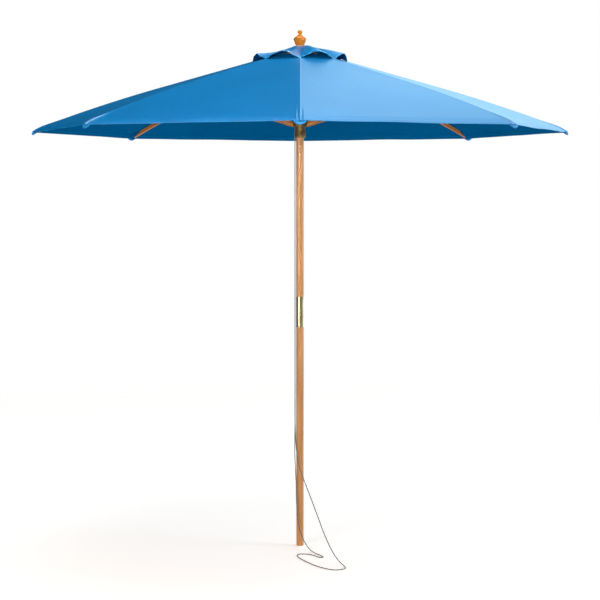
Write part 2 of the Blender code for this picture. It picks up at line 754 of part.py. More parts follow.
def main():
    clear_scene()
    wood = material("oiled_hardwood", (0.56, 0.29, 0.12), 0.5)
    varnished = material("varnished_wood", (0.78, 0.31, 0.03), 0.25)
    brass = material("polished_brass", (0.60, 0.45, 0.20), 0.18, 1.0)
    bronze = material("bronze_casting", (0.15, 0.10, 0.035), 0.4, 0.8)
    steel = material("zinc_steel", (0.50, 0.50, 0.50), 0.35, 1.0)
    dark = material("dark_nylon", (0.04, 0.04, 0.04), 0.5)
    fabric = material("blue_polyester", (0.01, 0.20, 0.52), 0.75)
    braid = material("grey_braid", (0.28, 0.28, 0.26), 0.8)
    make_lower_pole(wood)
    make_upper_pole(wood)
    make_ferrule(brass)
    make_finial(varnished)
    make_hub(wood)
    make_hub_wire(steel)
    make_runner(bronze)
    make_pulley(steel, dark)
    make_cord(braid)
    make_vent_cap(fabric)
    for number in range(1, RIB_COUNT + 1):
        make_rib(number, wood)
        make_rib_bracket(number, steel)
        make_strut(number, wood)
        make_pins(number, steel)
        make_canopy_panel(number, fabric)


main()
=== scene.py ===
"""The looks of a wooden market umbrella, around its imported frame: cloth, cord, finishes and stage."""

import math

import bpy
import numpy as np
from mathutils import Matrix, Vector, noise


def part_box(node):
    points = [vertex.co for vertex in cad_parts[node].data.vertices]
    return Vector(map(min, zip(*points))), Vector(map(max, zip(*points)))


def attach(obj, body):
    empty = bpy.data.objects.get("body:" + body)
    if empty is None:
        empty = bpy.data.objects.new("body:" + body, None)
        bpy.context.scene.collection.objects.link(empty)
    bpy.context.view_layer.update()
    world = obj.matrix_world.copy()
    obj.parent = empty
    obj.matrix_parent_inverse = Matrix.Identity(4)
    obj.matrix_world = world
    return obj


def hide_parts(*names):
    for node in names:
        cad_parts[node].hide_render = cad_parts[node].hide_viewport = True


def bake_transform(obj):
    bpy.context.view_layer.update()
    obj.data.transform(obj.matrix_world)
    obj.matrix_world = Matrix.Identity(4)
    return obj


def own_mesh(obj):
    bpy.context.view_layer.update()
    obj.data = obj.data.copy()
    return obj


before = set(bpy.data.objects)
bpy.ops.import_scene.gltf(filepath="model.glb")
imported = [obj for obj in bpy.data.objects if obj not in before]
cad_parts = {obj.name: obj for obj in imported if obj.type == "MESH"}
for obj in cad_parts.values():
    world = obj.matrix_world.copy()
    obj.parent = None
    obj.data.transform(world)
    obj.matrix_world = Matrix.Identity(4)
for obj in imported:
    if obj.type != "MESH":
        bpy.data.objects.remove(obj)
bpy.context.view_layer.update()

# Layout of the eight ribs
RIB_COUNT = 8
SECTOR = 2 * math.pi / RIB_COUNT
HALF_SECTOR = SECTOR / 2
FIRST_RIB_ANGLE = -math.pi / 2
SIDES = {"left": -1, "right": 1}

# Canopy: the ridge over a rib, its hem and its vent
RIDGE_APEX_Z = 2.4995
RIDGE_SLOPE = 0.281
RIDGE_BEND_R = 0.70
RIDGE_BEND = 0.0784
CANOPY_TIP_R = 1.334
CANOPY_VENT_R = 0.125
HEM_SCALLOP = 0.016
CLOTH_THICKNESS = 0.0009
CLOTH_ABOVE_RIDGE = 0.0014
SAG_DEPTH = 0.006
FLUTTER_BROAD = 0.0016
FLUTTER_FINE = 0.0004
FLUTTER_AT_HEM = 0.0022
FLUTTER_HEM_WIDTH = 0.10
HEM_WIDTH = 0.020
HEM_RISE = 0.0007
HEM_DROOP = 0.0095
HEM_DROOP_BACK = 0.34
HEM_DROOP_WIDTH = 0.060
HEM_ZONE = 0.080
HEM_EDGE = 0.003

# Pleats of the canopy where a corner is pulled over its rib
PLEAT_DEPTH = 0.0030
PLEAT_PITCH = 0.017
PLEAT_REACH = 0.022
PLEAT_START_R = 1.17
PLEAT_FULL_R = 1.30

# Seam over a rib
SEAM_HALF_WIDTH = 0.007
SEAM_THICKNESS = 0.0006
SEAM_RISE = 0.0005
SEAM_SINK = 0.0001
SEAM_PUFF = 0.00025
SEAM_PUFF_PITCH = 0.031
SEAM_END_GAP = 0.001

# Tip pocket: a pouch that widens and deepens from its neck towards the corner and closes in a blunt nose
POCKET_START_R = 1.255
POCKET_END_R = 1.334
POCKET_NECK_HALF_WIDTH = 0.0085
POCKET_WIDENING = 0.0195
POCKET_LEAST_HALF_WIDTH = 0.003
POCKET_DEPTH = 0.0160
POCKET_DEEPENING = 0.002
POCKET_LEAST_DEPTH = 0.006
POCKET_NOSE_WIDTH_SHARE = 0.35
POCKET_NOSE_DEPTH_SHARE = 0.45
POCKET_UNDERSIDE_TAPER = 0.60
POCKET_BELOW_RIDGE = 0.0012
POCKET_NOSE_DROP = 0.010
POCKET_EDGE_DROP = 0.0035
POCKET_WRINKLE = 0.0011
POCKET_WRINKLE_PITCH = 0.0105

# Vent cap; its arches and billows go panel by panel, from the one at the right of the front rib
CAP_HOLE_R = 0.0105
CAP_SHOULDER_R = 0.030
CAP_TOP_Z = 2.5102
CAP_HEM_R = 0.236
CAP_HEM_Z = 2.4355
CAP_ARCH = 0.033
CAP_HEM_BULGE = 0.016
CAP_ARCH_SHARES = (1.0, 0.95, 0.80, 0.80, 0.60, 0.40, 0.85, 1.0)
CAP_BILLOWS = (0.016, 0.009, 0.004, 0.002, -0.008, -0.008, -0.008, -0.007)
CAP_CROWN_R = 0.085
CAP_HEM_WIDTH = 0.008
CAP_HEM_EDGE = 0.002
CAP_HEM_RISE = 0.0010
CAP_PULL = 0.0060
CAP_PLEAT = 0.0030
CAP_CRUMPLE = 0.0020

# Strip of canopy that lies on a rib and stays on it, and how far it overlaps the cloth beside it
BAND_HALF_WIDTH = 0.020
BAND_OVERLAP = 0.0005

# Pull cord
CORD_R = 0.00225
CORD_X = -0.025
CORD_FLOOR_Z = CORD_R + 0.0003
CORD_SPACING = 0.008
CORD_SIDES = 10
SHEAVE_Z = 2.405
SHEAVE_TURN_R = 0.012
CORD_END_Y = 0.0006
CORD_LEAD = 0.01

# Threads and stitches
WEAVE_PITCH = 0.0009
RIB_STITCH_OFFSET = 0.0125
HEM_STITCH_INSETS = (0.004, 0.017)
STITCH_HALF_WIDTH = 0.0005
STITCH_LENGTH = 0.0040
BRAID_PITCH = 0.0024

# Camera; its tilt below level is in degrees
CAMERA_PLACE = (0.0, -7.785, 1.817)
CAMERA_TILT = 4.18
CAMERA_LENS = 93.33

# Floor: a disc that fades out between two radii
FLOOR_FADE_START_R = 2.0
FLOOR_FADE_END_R = 7.0
FLOOR_GLOW = (1.0, 0.80, 0.66, 1.0)
FLOOR_GLOW_STRENGTH = 0.56

# Light that the surround gives from three sides
FRONT_GLOW = (0.26, 0.26, 0.26, 1.0)
BACK_LEFT_GLOW = (0.0, 0.03, 0.05, 1.0)
BACK_RIGHT_GLOW = (0.95, 1.45, 1.70, 1.0)


# ---------------------------------------------------------------- nodes and finishes

def node(tree, kind, inputs=None, **settings):
    """Add a shader node; an input is a value or another node's output."""
    made = tree.nodes.new("ShaderNode" + kind)
    for key, value in settings.items():
        setattr(made, key, value)
    for key, value in (inputs or {}).items():
        if isinstance(value, bpy.types.NodeSocket):
            tree.links.new(value, made.inputs[key])
        else:
            made.inputs[key].default_value = value
    return made


def math_node(tree, operation, first, second=0.0):
    """The result of a sum on two values."""
    return node(tree, "Math", {0: first, 1: second}, operation=operation).outputs[0]


def blend_value(tree, factor, low, high):
    """A value that goes from low to high with a factor."""
    spread = node(tree, "MapRange", {"Value": factor, "To Min": low, "To Max": high})
    return spread.outputs["Result"]


def mix_colour(tree, factor, first, second, blend_type="MIX"):
    """The first colour with the second mixed in."""
    made = node(tree, "Mix", data_type="RGBA", blend_type=blend_type)
    for key, value in ((0, factor), (6, first), (7, second)):
        if isinstance(value, bpy.types.NodeSocket):
            tree.links.new(value, made.inputs[key])
        else:
            made.inputs[key].default_value = value
    return made.outputs[2]


def colour(red, green, blue):
    """A colour with full alpha."""
    return (red, green, blue, 1.0)


def ramp(tree, factor, stops):
    """A colour ramp of (place, colour) stops."""
    made = node(tree, "ValToRGB", {"Fac": factor})
    elements = made.color_ramp.elements
    while len(elements) < len(stops):
        elements.new(0.5)
    for element, (place, tone) in zip(elements, stops):
        element.position = place
        element.color = tone
    return made.outputs["Color"]


def bump(tree, height, strength, distance, normal=None):
    """A bump of a real height, on top of another bump if one is given."""
    inputs = {"Height": height, "Strength": strength, "Distance": distance}
    if normal is not None:
        inputs["Normal"] = normal
    return node(tree, "Bump", inputs).outputs["Normal"]


def noise_of(tree, place, scale, detail=3.0, roughness=0.5):
    """Noise at a scale, from 0 to 1."""
    inputs = {"Vector": place, "Scale": scale, "Detail": detail, "Roughness": roughness}
    return node(tree, "TexNoise", inputs).outputs["Fac"]


def new_finish(name, **values):
    """A Principled material whose uniform values are set on the shader itself."""
    finish = bpy.data.materials.new(name)
    finish.use_nodes = True
    shader = finish.node_tree.nodes["Principled BSDF"]
    for key, value in values.items():
        shader.inputs[key.replace("_", " ")].default_value = value
    return finish, finish.node_tree, shader


def object_place(tree):
    """Position on the object, in metres."""
    return node(tree, "TexCoord").outputs["Object"]


def timber(name, along, tones, shine, coat=0.0, coat_roughness=0.1):
    """Hardwood with its grain along a direction: broad figure, fine fibres and short dark pores."""
    finish, tree, shader = new_finish(
        name,
        Coat_Weight=coat,
        Coat_Roughness=coat_roughness,
        Specular_IOR_Level=0.30,
    )
    along = Vector(along).normalized()
    across = along.orthogonal().normalized()
    third = along.cross(across)
    place = object_place(tree)

    def stretched(stretch):
        axes = []
        for direction, scale in ((across, 1.0), (third, 1.0), (along, stretch)):
            inputs = {0: place, 1: direction * scale}
            axes.append(node(tree, "VectorMath", inputs, operation="DOT_PRODUCT").outputs["Value"])
        return node(tree, "CombineXYZ", dict(enumerate(axes))).outputs[0]

    figure = noise_of(tree, stretched(0.035), 55.0, 4.0, 0.6)
    fibre = noise_of(tree, stretched(0.012), 620.0, 2.0, 0.5)
    patch = noise_of(tree, stretched(0.12), 14.0, 2.0, 0.5)
    pores = noise_of(tree, stretched(0.03), 900.0, 1.0, 0.4)
    pore_range = {"Value": pores, "From Min": 0.62, "From Max": 0.72}
    pore_mask = node(tree, "MapRange", pore_range).outputs["Result"]
    tone = ramp(tree, figure, [(0.28, tones[0]), (0.50, tones[1]), (0.74, tones[2])])
    fibre_tone = ramp(tree, fibre, [(0.30, colour(0.80, 0.76, 0.70)), (0.70, colour(1.12, 1.12, 1.10))])
    patch_tone = ramp(tree, patch, [(0.30, colour(0.86, 0.82, 0.78)), (0.70, colour(1.10, 1.08, 1.06))])
    tone = mix_colour(tree, 1.0, tone, fibre_tone, "MULTIPLY")
    tone = mix_colour(tree, 1.0, tone, patch_tone, "MULTIPLY")
    tone = mix_colour(tree, math_node(tree, "MULTIPLY", pore_mask, 0.45), tone, tones[0])
    tree.links.new(tone, shader.inputs["Base Color"])
    tree.links.new(blend_value(tree, fibre, shine, shine + 0.16), shader.inputs["Roughness"])
    relief = bump(tree, fibre, 0.25, 0.0002)
    relief = bump(tree, math_node(tree, "SUBTRACT", 1.0, pore_mask), 0.3, 0.0002, relief)
    tree.links.new(relief, shader.inputs["Normal"])
    return finish


def metal(name, tone, dark, low, high, streak=(1.0, 1.0, 1.0), grain=180.0, metallic=1.0, depth=0.00005):
    """Metal with fine scratches stretched one way, smudges, and darker tarnish in patches."""
    finish, tree, shader = new_finish(name, Metallic=metallic)
    place = object_place(tree)
    stretched = node(tree, "Mapping", {"Vector": place, "Scale": streak}).outputs["Vector"]
    scratches = noise_of(tree, stretched, grain, 4.0, 0.6)
    smudges = noise_of(tree, place, 22.0, 4.0, 0.65)
    worn = ramp(tree, smudges, [(0.34, dark), (0.62, tone)])
    tree.links.new(worn, shader.inputs["Base Color"])
    scratch_share = math_node(tree, "MULTIPLY", scratches, 0.6)
    smudge_share = math_node(tree, "MULTIPLY", smudges, 0.4)
    shade = math_node(tree, "ADD", scratch_share, smudge_share)
    tree.links.new(blend_value(tree, shade, low, high), shader.inputs["Roughness"])
    tree.links.new(bump(tree, scratches, 0.4, depth), shader.inputs["Normal"])
    return finish


def nylon():
    """Dark moulded nylon."""
    finish, tree, shader = new_finish("dark_nylon", Specular_IOR_Level=0.4)
    place = object_place(tree)
    speckle = noise_of(tree, place, 900.0, 3.0, 0.6)
    tone = ramp(tree, speckle, [(0.35, colour(0.020, 0.020, 0.021)), (0.70, colour(0.045, 0.045, 0.046))])
    tree.links.new(tone, shader.inputs["Base Color"])
    tree.links.new(blend_value(tree, speckle, 0.42, 0.60), shader.inputs["Roughness"])
    tree.links.new(bump(tree, speckle, 0.3, 0.0001), shader.inputs["Normal"])
    return finish


def cloth(name, dark, light, gloss, seams=True, rough=0.26):
    """Plain-woven polyester. U is metres across from the rib, V metres in from the hem."""
    finish, tree, shader = new_finish(name, Specular_IOR_Level=gloss)
    flat = node(tree, "UVMap", uv_map="cloth").outputs["UV"]
    axes = node(tree, "SeparateXYZ", {0: flat})
    across, inward = axes.outputs[0], axes.outputs[1]
    place = object_place(tree)
    threads = []
    for value in (across, inward):
        turns = math_node(tree, "MULTIPLY", value, 2 * math.pi / WEAVE_PITCH)
        threads.append(math_node(tree, "SINE", turns))
    weave = math_node(tree, "MULTIPLY", threads[0], threads[1])
    drawn_out = node(tree, "Mapping", {"Vector": flat, "Scale": (60.0, 900.0, 1.0)}).outputs[0]
    slub = noise_of(tree, drawn_out, 1.0, 2.0)
    fade = noise_of(tree, place, 2.2, 3.0, 0.55)
    mottle = noise_of(tree, place, 26.0, 3.0, 0.6)
    tone = ramp(tree, fade, [(0.30, dark), (0.72, light)])
    variation = ramp(tree, mottle, [(0.30, colour(0.955, 0.965, 0.97)), (0.70, colour(1.03, 1.02, 1.02))])
    tone = mix_colour(tree, 1.0, tone, variation, "MULTIPLY")
    slub_tone = ramp(tree, slub, [(0.30, colour(0.965, 0.97, 0.975)), (0.70, colour(1.02, 1.02, 1.02))])
    tone = mix_colour(tree, 1.0, tone, slub_tone, "MULTIPLY")
    relief = bump(tree, weave, 0.12, 0.0001)
    relief = bump(tree, mottle, 0.10, 0.0012, relief)
    if seams:
        stitch = None
        lines = [(across, inward, RIB_STITCH_OFFSET)]
        lines += [(inward, across, inset) for inset in HEM_STITCH_INSETS]
        for axis, along, offset in lines:
            beside = math_node(tree, "SUBTRACT", math_node(tree, "ABSOLUTE", axis), offset)
            reach = math_node(tree, "ABSOLUTE", beside)
            line = math_node(tree, "LESS_THAN", reach, STITCH_HALF_WIDTH)
            dash = math_node(tree, "FRACT", math_node(tree, "DIVIDE", along, STITCH_LENGTH))
            dash = math_node(tree, "LESS_THAN", dash, 0.70)
            mark = math_node(tree, "MULTIPLY", line, dash)
            stitch = mark if stitch is None else math_node(tree, "MAXIMUM", stitch, mark)
        thread = colour(0.02, 0.30, 0.62)
        tone = mix_colour(tree, math_node(tree, "MULTIPLY", stitch, 0.5), tone, thread)
        relief = bump(tree, stitch, 0.5, 0.0004, relief)
    tree.links.new(tone, shader.inputs["Base Color"])
    tree.links.new(blend_value(tree, mottle, rough, rough + 0.07), shader.inputs["Roughness"])
    tree.links.new(relief, shader.inputs["Normal"])
    return finish


def braid():
    """Grey braided cord, with painted shade in the grooves between its strands. U goes round it and V along
    it, both in metres.
    """
    finish, tree, shader = new_finish("grey_braid", Sheen_Weight=0.05, Specular_IOR_Level=0.2)
    flat = node(tree, "UVMap", uv_map="cloth").outputs["UV"]
    axes = node(tree, "SeparateXYZ", {0: flat})
    strands = []
    for turn in (1.0, -1.0):
        lean = math_node(tree, "MULTIPLY", axes.outputs[0], turn)
        along = math_node(tree, "ADD", axes.outputs[1], lean)
        turns = math_node(tree, "MULTIPLY", along, 2 * math.pi / BRAID_PITCH)
        strands.append(math_node(tree, "SINE", turns))
    plait = math_node(tree, "MAXIMUM", strands[0], strands[1])
    height = node(tree, "MapRange", {"Value": plait, "From Min": -1.0, "From Max": 1.0}).outputs["Result"]
    dirt = noise_of(tree, object_place(tree), 9.0, 4.0, 0.6)
    # Painted shade: the grooves between the strands are coloured darker than the crests
    tone = ramp(tree, height, [(0.35, colour(0.055, 0.054, 0.044)), (0.95, colour(0.240, 0.235, 0.190))])
    soil = ramp(tree, dirt, [(0.35, colour(0.80, 0.78, 0.74)), (0.65, colour(1.0, 1.0, 1.0))])
    tree.links.new(mix_colour(tree, 1.0, tone, soil, "MULTIPLY"), shader.inputs["Base Color"])
    tree.links.new(blend_value(tree, height, 0.85, 0.60), shader.inputs["Roughness"])
    tree.links.new(bump(tree, height, 0.8, 0.0004), shader.inputs["Normal"])
    return finish


# ---------------------------------------------------------------- shape rules

def rib_turn(number):
    """Rotation about the vertical from the XZ plane, where a rib is worked out, to its own place."""
    return Matrix.Rotation(FIRST_RIB_ANGLE + (number - 1) * SECTOR, 3, "Z")


def ridge_z(r):
    """Height of the canopy's ridge over a rib."""
    return RIDGE_APEX_Z - RIDGE_SLOPE * r - RIDGE_BEND * max(0.0, r - RIDGE_BEND_R) ** 2


def smooth_step(value, low, high):
    """0 below low, 1 above high, smooth between."""
    share = min(1.0, max(0.0, (value - low) / (high - low)))
    return share * share * (3 - 2 * share)


def flutter(place, edge):
    """Small unevenness of hanging cloth at a place; edge is 1 at a free hem and 0 well inside."""
    broad = noise.noise(Vector(place) * 3.1 + Vector((4.1, 2.7, 0.3)))
    fine = noise.noise(Vector(place) * 11.0 + Vector((0.7, 9.2, 5.5)))
    return FLUTTER_BROAD * broad + FLUTTER_FINE * fine + FLUTTER_AT_HEM * edge * broad


def canopy_point(rib_r, away, side, turn):
    """A point of the canopy's upper side.

    rib_r is the ridge radius of its level line, and away is 0 on the rib and 1 half way to the next.
    """
    angle = away * HALF_SECTOR
    r = rib_r * math.cos(HALF_SECTOR) / math.cos(HALF_SECTOR - angle)
    point = turn @ Vector((r * math.cos(angle), side * r * math.sin(angle), 0.0))
    offset = r * math.sin(angle)
    loose = math.sin(math.pi / 2 * away)
    sag = SAG_DEPTH * (rib_r / CANOPY_TIP_R) ** 2 * loose
    hem_r = CANOPY_TIP_R - HEM_SCALLOP * away * (2 - away)
    edge = smooth_step(rib_r, hem_r - FLUTTER_HEM_WIDTH, hem_r)
    near_tip = smooth_step(rib_r, PLEAT_START_R, PLEAT_FULL_R)
    wave = math.cos(2 * math.pi * offset / PLEAT_PITCH) * math.exp(-(offset / PLEAT_REACH) ** 2)
    pleat = PLEAT_DEPTH * near_tip * wave
    near_hem = max(0.0, 1 - (hem_r - rib_r) / HEM_DROOP_WIDTH) ** 2
    droop = HEM_DROOP * (1 + HEM_DROOP_BACK * point.y) * near_hem
    point.z = ridge_z(rib_r) + CLOTH_ABOVE_RIDGE - sag - droop + loose * flutter(point, edge) + pleat
    return point


def cap_radius(radius, share):
    """Radius of the vent cap's cloth; share is 0 on a rib, 1 on the next."""
    chord = math.cos(HALF_SECTOR) / math.cos(HALF_SECTOR - share * SECTOR)
    flat = max(0.0, (radius - CAP_SHOULDER_R) / (CAP_HEM_R - CAP_SHOULDER_R))
    r = radius * (1 + (chord - 1) * min(1.0, 2 * flat))
    return r + CAP_HEM_BULGE * flat**2 * math.sin(math.pi * share)


def cap_point(radius, away, side, number):
    """A point of the vent cap's upper side, wrinkled between its folds."""
    turn = rib_turn(number)
    share = away / 2
    sector = (number - 1 if side > 0 else number - 2) % RIB_COUNT
    r = cap_radius(radius, share)
    angle = away * HALF_SECTOR
    point = turn @ Vector((r * math.cos(angle), side * r * math.sin(angle), 0.0))
    out = max(0.0, (radius - CAP_SHOULDER_R) / (CAP_HEM_R - CAP_SHOULDER_R))
    valley = CAP_TOP_Z + (CAP_HEM_Z - CAP_TOP_Z) * out
    arch = CAP_ARCH_SHARES[sector] * CAP_ARCH * out**1.4 * math.sin(math.pi * share) ** 1.2
    heading = math.atan2(point.y, point.x)
    pull = noise.noise(Vector((math.cos(heading) * 5.2, math.sin(heading) * 5.2, radius * 5.0)))
    pleat = noise.noise(Vector((math.cos(heading) * 14.0, math.sin(heading) * 14.0, radius * 4.0)))
    crumple = noise.noise(Vector(point) * 34.0)
    slack = smooth_step(radius, 0.03, 0.12) * math.sin(math.pi / 2 * away)
    billow = CAP_BILLOWS[sector] * math.sin(math.pi * out) * math.sin(math.pi * share)
    wrinkle = CAP_PULL * pull + CAP_PLEAT * pleat + CAP_CRUMPLE * crumple
    point.z = valley + arch + billow + slack * wrinkle
    return point


def smooth_points(route, steps):
    """Points of a centripetal Catmull-Rom curve through a route of 3-D points."""
    route = [Vector(p) for p in route]
    ends = [2 * route[0] - route[1], *route, 2 * route[-1] - route[-2]]
    points = []
    for p0, p1, p2, p3 in zip(ends, ends[1:], ends[2:], ends[3:]):
        t1 = (p1 - p0).length ** 0.5
        t2 = t1 + (p2 - p1).length ** 0.5
        t3 = t2 + (p3 - p2).length ** 0.5
        for i in range(steps):
            t = t1 + (t2 - t1) * i / steps
            a1 = p0.lerp(p1, t / t1)
            a2 = p1.lerp(p2, (t - t1) / (t2 - t1))
            a3 = p2.lerp(p3, (t - t2) / (t3 - t2))
            b1 = a1.lerp(a2, t / t2)
            b2 = a2.lerp(a3, (t - t1) / (t3 - t1))
            points.append(b1.lerp(b2, (t - t1) / (t2 - t1)))
    points.append(route[-1])
    return points


def even_points(points, spacing):
    """The same line with points at even distances."""
    lengths = [0.0]
    for a, b in zip(points, points[1:]):
        lengths.append(lengths[-1] + (b - a).length)
    count = round(lengths[-1] / spacing)
    wanted = [lengths[-1] * i / count for i in range(count + 1)]
    axes = [np.interp(wanted, lengths, [p[k] for p in points]) for k in range(3)]
    return [Vector(p) for p in zip(*axes)], lengths[-1]


# ---------------------------------------------------------------- meshes

def finish_mesh(name, vertices, faces, face_finishes, coordinates, finishes, sharp=40):
    """An object from plain lists, with one finish a face and one pair of cloth coordinates a vertex."""
    mesh = bpy.data.meshes.new(name)
    mesh.from_pydata(vertices, [], faces)
    layer = mesh.uv_layers.new(name="cloth")
    indices = np.zeros(len(mesh.loops), int)
    mesh.loops.foreach_get("vertex_index", indices)
    layer.data.foreach_set("uv", np.array(coordinates, float)[indices].ravel())
    mesh.polygons.foreach_set("material_index", np.array(face_finishes, np.int32))
    for finish in finishes:
        mesh.materials.append(finish)
    mesh.shade_smooth()
    mesh.set_sharp_from_angle(angle=math.radians(sharp))
    made = bpy.data.objects.new(name, mesh)
    bpy.context.scene.collection.objects.link(made)
    return made


def thin_sheet(name, points, coordinates, thickness, finishes):
    """A closed sheet under a grid of points, with an upper, a lower and perhaps a rim finish."""
    grid = np.array([[tuple(p) for p in row] for row in points])
    rows, columns = grid.shape[:2]
    normals = np.cross(np.gradient(grid, axis=0), np.gradient(grid, axis=1))
    normals /= np.linalg.norm(normals, axis=2)[:, :, None]
    if normals[:, :, 2].sum() < 0:
        normals = -normals
    lower = grid - normals * np.asarray(thickness, float).reshape(-1, 1, 1)
    vertices = np.concatenate([grid.reshape(-1, 3), lower.reshape(-1, 3)])
    half = rows * columns
    step_i, step_j = grid[1, 0] - grid[0, 0], grid[0, 1] - grid[0, 0]
    upward = np.cross(step_i, step_j)[2] > 0
    rim = len(finishes) - 1 if len(finishes) > 2 else 0
    faces, kinds = [], []
    for i in range(rows - 1):
        for j in range(columns - 1):
            a = i * columns + j
            quad = (a, a + columns, a + columns + 1, a + 1)
            faces.append(quad if upward else quad[::-1])
            kinds.append(0)
            under = tuple(half + k for k in quad)
            faces.append(under[::-1] if upward else under)
            kinds.append(1)
    ring = [i * columns for i in range(rows)]
    ring += [(rows - 1) * columns + j for j in range(1, columns)]
    ring += [i * columns + columns - 1 for i in range(rows - 2, -1, -1)]
    ring += [j for j in range(columns - 2, 0, -1)]
    for a, b in zip(ring, ring[1:] + ring[:1]):
        quad = (a, half + a, half + b, b)
        faces.append(quad if upward else quad[::-1])
        kinds.append(rim)
    flat = [uv for row in coordinates for uv in row]
    return finish_mesh(name, vertices.tolist(), faces, kinds, flat + flat, finishes)


def surface_area(points):
    """Area of a grid of points."""
    total = 0.0
    for low, high in zip(points, points[1:]):
        for a, b, c, d in zip(low, low[1:], high, high[1:]):
            total += (b - a).cross(c - a).length / 2 + (b - d).cross(c - d).length / 2
    return total


# ---------------------------------------------------------------- canopy

def fold(piece, number, side, from_rib):
    """Attach cloth that starts at a distance beside its rib to the rib's arm, with a mesh of its own."""
    start = Vector((CANOPY_VENT_R, 0, ridge_z(CANOPY_VENT_R)))
    start += from_rib * Vector((0, side, -RIDGE_SLOPE * math.tan(HALF_SECTOR)))
    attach(piece, f"rib_arm_{number}")
    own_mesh(piece)


def spread_rows(count, start, end):
    """Even values from start to end."""
    return [start + (end - start) * i / count for i in range(count + 1)]


def away_at(rib_r, offset):
    """How far towards the panel's middle, from 0 to 1, a point lies at a distance beside the rib."""
    side_on, straight = math.sin(HALF_SECTOR), math.cos(HALF_SECTOR)
    return math.atan(offset * straight / (rib_r * straight - offset * side_on)) / HALF_SECTOR


def canopy_cloth(name, places_of, turn, finishes):
    """Cloth from the vent to the hem; places_of gives its places across a ridge radius, from -1 to 1."""
    rows, coordinates, thickness = [], [], []
    hem_share = 1 - HEM_ZONE / (CANOPY_TIP_R - CANOPY_VENT_R)
    for share in spread_rows(44, 0.0, hem_share) + spread_rows(22, hem_share, 1.0)[1:]:
        row, uv = [], []
        for place in places_of(CANOPY_VENT_R + (CANOPY_TIP_R - CANOPY_VENT_R) * share):
            away = abs(place)
            hem_r = CANOPY_TIP_R - HEM_SCALLOP * away * (2 - away)
            rib_r = CANOPY_VENT_R + (hem_r - CANOPY_VENT_R) * share
            point = canopy_point(rib_r, away, -1 if place < 0 else 1, turn)
            row.append(point)
            r = math.hypot(point.x, point.y)
            uv.append((r * math.sin(place * HALF_SECTOR), (hem_r - rib_r) * math.cos(HALF_SECTOR)))
        rows.append(row)
        coordinates.append(uv)
        inward = (1 - share) * (CANOPY_TIP_R - CANOPY_VENT_R)
        in_hem = 1 - smooth_step(inward, HEM_WIDTH - HEM_EDGE, HEM_WIDTH + HEM_EDGE)
        thickness.append(CLOTH_THICKNESS + 2 * HEM_RISE * in_hem)
        for point in row:
            point.z += HEM_RISE * in_hem
    return thin_sheet(name, rows, coordinates, thickness, finishes), surface_area(rows)


def make_canopy_band(number, finishes):
    """The strip of canopy that lies on a rib and stays on it."""
    def places_of(rib_r):
        edge = away_at(rib_r, BAND_HALF_WIDTH + BAND_OVERLAP)
        return [edge * (i / 6 - 1) for i in range(13)]

    piece, area = canopy_cloth(f"canopy_band_{number}", places_of, rib_turn(number), finishes)
    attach(piece, f"rib_arm_{number}")
    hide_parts(f"canopy_panel_{number}")


def make_canopy_half(number, side_name, finishes):
    """The cloth beside a rib's strip, as far as the middle of the panel."""
    side = SIDES[side_name]

    def places_of(rib_r):
        start = away_at(rib_r, BAND_HALF_WIDTH)
        return [side * (start + (1 - start) * i / 16) for i in range(17)]

    piece, area = canopy_cloth(f"canopy_{number}_{side_name}", places_of, rib_turn(number), finishes)
    fold(piece, number, side, BAND_HALF_WIDTH)
    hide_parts(f"canopy_panel_{number}")


def make_seam(number, finishes):
    """The folded seam over a rib, which softens the ridge."""
    turn = rib_turn(number)
    rows, coordinates = [], []
    for rib_r in spread_rows(90, CANOPY_VENT_R, CANOPY_TIP_R - SEAM_END_GAP):
        row, uv = [], []
        for j in range(11):
            across = SEAM_HALF_WIDTH * (j / 5 - 1)
            drop = abs(across) / rib_r
            angle = math.asin(min(1.0, drop))
            level = rib_r * math.cos(angle) + abs(across) * math.tan(HALF_SECTOR)
            away = min(1.0, angle / HALF_SECTOR)
            side = -1 if across < 0 else 1
            hem_level = min(level, CANOPY_TIP_R)
            point = canopy_point(hem_level, away, side, turn)
            share = 1 - (across / SEAM_HALF_WIDTH) ** 2
            puff = SEAM_PUFF * math.sin(rib_r * 2 * math.pi / SEAM_PUFF_PITCH) * share
            point.z += SEAM_RISE * share + puff - SEAM_SINK
            row.append(point)
            uv.append((across, CANOPY_TIP_R - rib_r))
        rows.append(row)
        coordinates.append(uv)
    thickness = [SEAM_THICKNESS] * len(rows)
    piece = thin_sheet(f"canopy_seam_{number}", rows, coordinates, thickness, finishes)
    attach(piece, f"rib_arm_{number}")
    return piece


